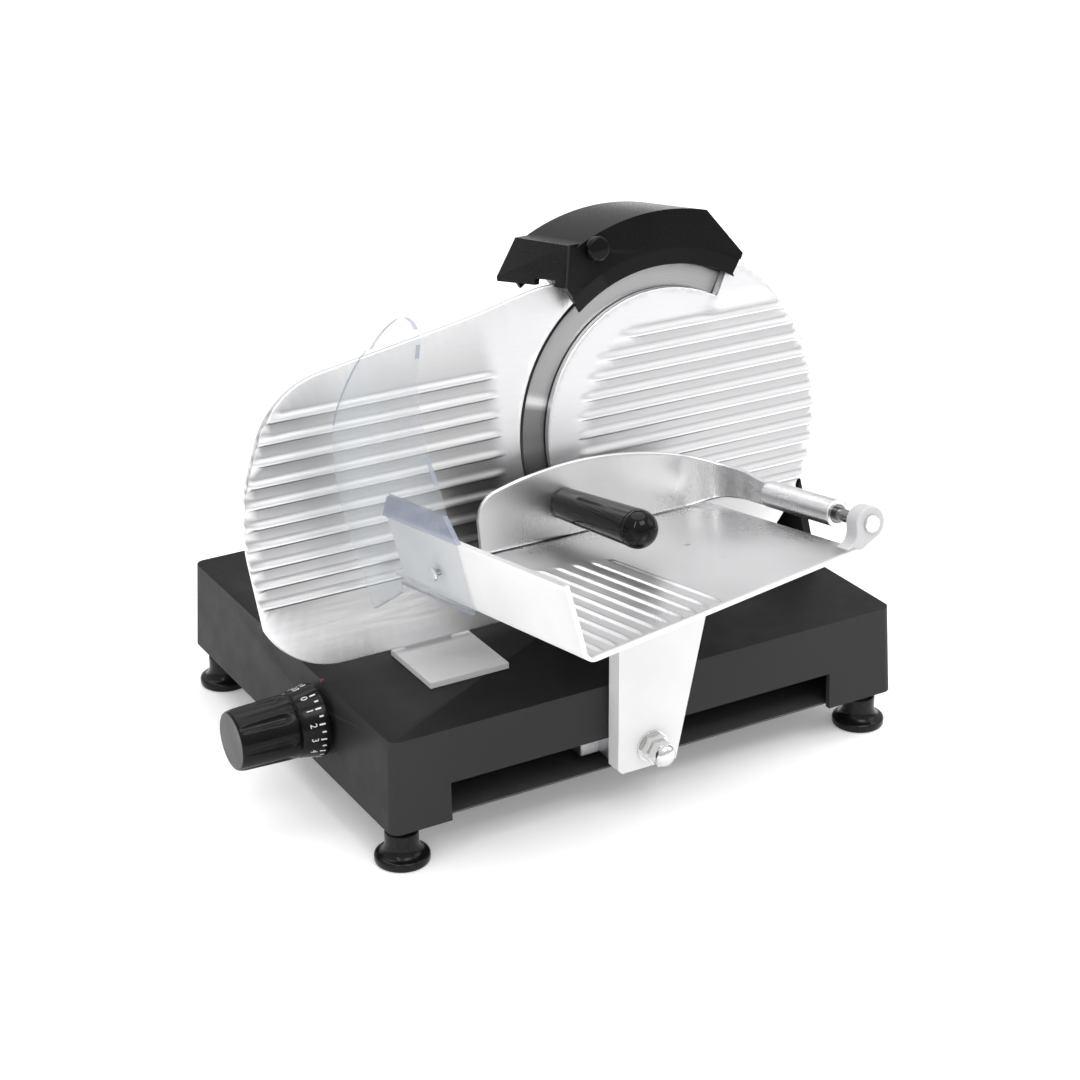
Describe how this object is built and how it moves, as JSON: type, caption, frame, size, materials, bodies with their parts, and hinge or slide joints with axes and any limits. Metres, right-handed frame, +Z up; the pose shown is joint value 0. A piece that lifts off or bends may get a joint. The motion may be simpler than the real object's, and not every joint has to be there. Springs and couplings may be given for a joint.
{
  "type": "deli meat slicer",
  "caption": "Bench-top gravity deli meat slicer: tilted round blade with ribbed cover and gauge plate, sliding tray with pusher and clear guard, black base on feet.",
  "frame": {"origin": "on the bench, under the centre of the base", "axes": "+Z up, -X left where the thickness knob is, -Y towards the operator; the blade plane leans back by 10 degrees"},
  "size_m": [0.4552, 0.4759, 0.3541],
  "materials": {
    "black_paint": "satin black enamel",
    "dark_sheet": "semi-matt",
    "zinc_steel": "zinc plated",
    "black_foot": "gloss",
    "motor_grey": "satin",
    "ground_steel": "ground",
    "dark_rod": "ground, dark",
    "belt_rubber": "matt",
    "black_plastic": "fine texture",
    "green_button": "gloss",
    "red_button": "gloss",
    "blade_steel": "circular ground",
    "cast_aluminium": "as machined",
    "satin_aluminium": "satin anodised",
    "coated_aluminium": "silver-white lacquer",
    "polished_aluminium": "polished",
    "bronze": "sintered",
    "black_bakelite": "gloss",
    "clear_polycarbonate": "clear",
    "sharpener_black": "semi-matt",
    "grit": "abrasive"
  },
  "bodies": {
    "machine_base": {"base_housing": "black_paint", "bottom_cover": "dark_sheet", "rear_cover_screws": "zinc_steel", "foot_front_left": "black_foot", "foot_front_right": "black_foot", "foot_rear_left": "black_foot", "foot_rear_right": "black_foot", "foot_studs": "zinc_steel", "body_column": "black_paint", "blade_housing": "black_paint", "rear_cover": "dark_sheet", "motor": "motor_grey", "motor_screws": "zinc_steel", "blade_spindle": "ground_steel", "drive_belt": "belt_rubber", "cable_gland": "black_plastic", "switch_plate": "black_plastic", "knob_bushing": "ground_steel", "gauge_bracket": "dark_sheet", "gauge_guide_rod": "ground_steel", "carriage_rod": "ground_steel", "carriage_steady_rod": "ground_steel", "rod_brackets": "dark_sheet", "sharpener_post": "ground_steel", "blade_cover": "satin_aluminium"},
    "on_button": {"on_button": "green_button"},
    "off_button": {"off_button": "red_button"},
    "blade_rotor": {"blade": "blade_steel", "blade_pulley": "cast_aluminium", "blade_screws": "zinc_steel", "blade_bearings": "ground_steel"},
    "motor_rotor": {"motor_pulley": "cast_aluminium", "motor_shaft": "ground_steel"},
    "tie_rod": {"cover_tie_rod": "ground_steel", "cover_knob": "black_bakelite"},
    "dial": {"thickness_knob": "black_bakelite", "knob_shaft": "ground_steel", "thickness_cam": "bronze"},
    "gauge": {"gauge_plate": "satin_aluminium", "gauge_foot": "coated_aluminium", "gauge_support": "cast_aluminium", "gauge_screws": "zinc_steel"},
    "carriage": {"carriage_block": "cast_aluminium", "carriage_bushes": "bronze", "carriage_arm": "coated_aluminium", "clamp_bolt": "zinc_steel", "meat_tray": "polished_aluminium", "tray_screws": "zinc_steel", "pusher_rod": "dark_rod", "rod_screw": "zinc_steel", "hand_guard": "clear_polycarbonate", "guard_screw": "zinc_steel"},
    "pusher_slider": {"pusher_bush": "dark_rod"},
    "pusher": {"pusher_plate": "polished_aluminium", "pusher_sleeve": "polished_aluminium", "pusher_handle": "black_bakelite"},
    "sharpener": {"sharpener_cover": "sharpener_black"},
    "sharpener_lock": {"sharpener_knob": "black_bakelite"},
    "stone_left": {"sharpener_stone_left": "grit"},
    "stone_right": {"sharpener_stone_right": "grit"}
  },
  "joints": [
    {"name": "blade_spin", "type": "hinge", "parent": "machine_base", "child": "blade_rotor", "pos_m": [0.081, -0.038, 0.208], "axis": [0, -0.9848, 0.1736], "continuous": true},
    {"name": "motor_spin", "type": "hinge", "parent": "machine_base", "child": "motor_rotor", "pos_m": [0.119, -0.02907, 0.14347], "axis": [0, -0.9848, 0.1736], "continuous": true},
    {"name": "cover_knob_turn", "type": "hinge", "parent": "machine_base", "child": "tie_rod", "pos_m": [0.081, 0.08018, 0.18716], "axis": [0, -0.9848, 0.1736], "continuous": true},
    {"name": "thickness_turn", "type": "hinge", "parent": "machine_base", "child": "dial", "pos_m": [-0.19, -0.056, 0.065], "axis": [-1, 0, 0], "range_deg": [0, 300]},
    {"name": "gauge_slide", "type": "slide", "parent": "machine_base", "child": "gauge", "axis": [0, 1, 0], "range_m": [0, 0.012]},
    {"name": "carriage_slide", "type": "slide", "parent": "machine_base", "child": "carriage", "axis": [1, 0, 0], "range_m": [-0.105, 0.12]},
    {"name": "pusher_slide", "type": "slide", "parent": "carriage", "child": "pusher_slider", "axis": [0, -0.9848, 0.1736], "range_m": [0, 0.02]},
    {"name": "pusher_swing", "type": "hinge", "parent": "pusher_slider", "child": "pusher", "pos_m": [0.108, -0.16324, 0.18876], "axis": [0, 0.9848, -0.1736], "range_deg": [0, 110]},
    {"name": "on_press", "type": "slide", "parent": "machine_base", "child": "on_button", "axis": [-1, 0, 0], "range_m": [0, 0.002], "stiffness_N_per_m": 400},
    {"name": "off_press", "type": "slide", "parent": "machine_base", "child": "off_button", "axis": [-1, 0, 0], "range_m": [0, 0.002], "stiffness_N_per_m": 400},
    {"name": "sharpener_lift", "type": "slide", "parent": "machine_base", "child": "sharpener", "axis": [0, 0.1736, 0.9848], "range_m": [0, 0.02]},
    {"name": "sharpener_lock_turn", "type": "hinge", "parent": "sharpener", "child": "sharpener_lock", "pos_m": [0.03, -0.02889, 0.33738], "axis": [0, -0.9848, 0.1736], "range_deg": [0, 360]},
    {"name": "stone_left_spin", "type": "hinge", "parent": "sharpener", "child": "stone_left", "pos_m": [0.039, 0.02478, 0.31066], "axis": [0, -0.9848, 0.1736], "continuous": true},
    {"name": "stone_right_spin", "type": "hinge", "parent": "sharpener", "child": "stone_right", "pos_m": [0.113, 0.02478, 0.31066], "axis": [0, -0.9848, 0.1736], "continuous": true}
  ],
  "couplings": [
    {"joint": "motor_spin", "follows": "blade_spin", "ratio": 3.2143},
    {"joint": "thickness_turn", "follows": "gauge_slide", "rad_per_m": 436.3}
  ]
}
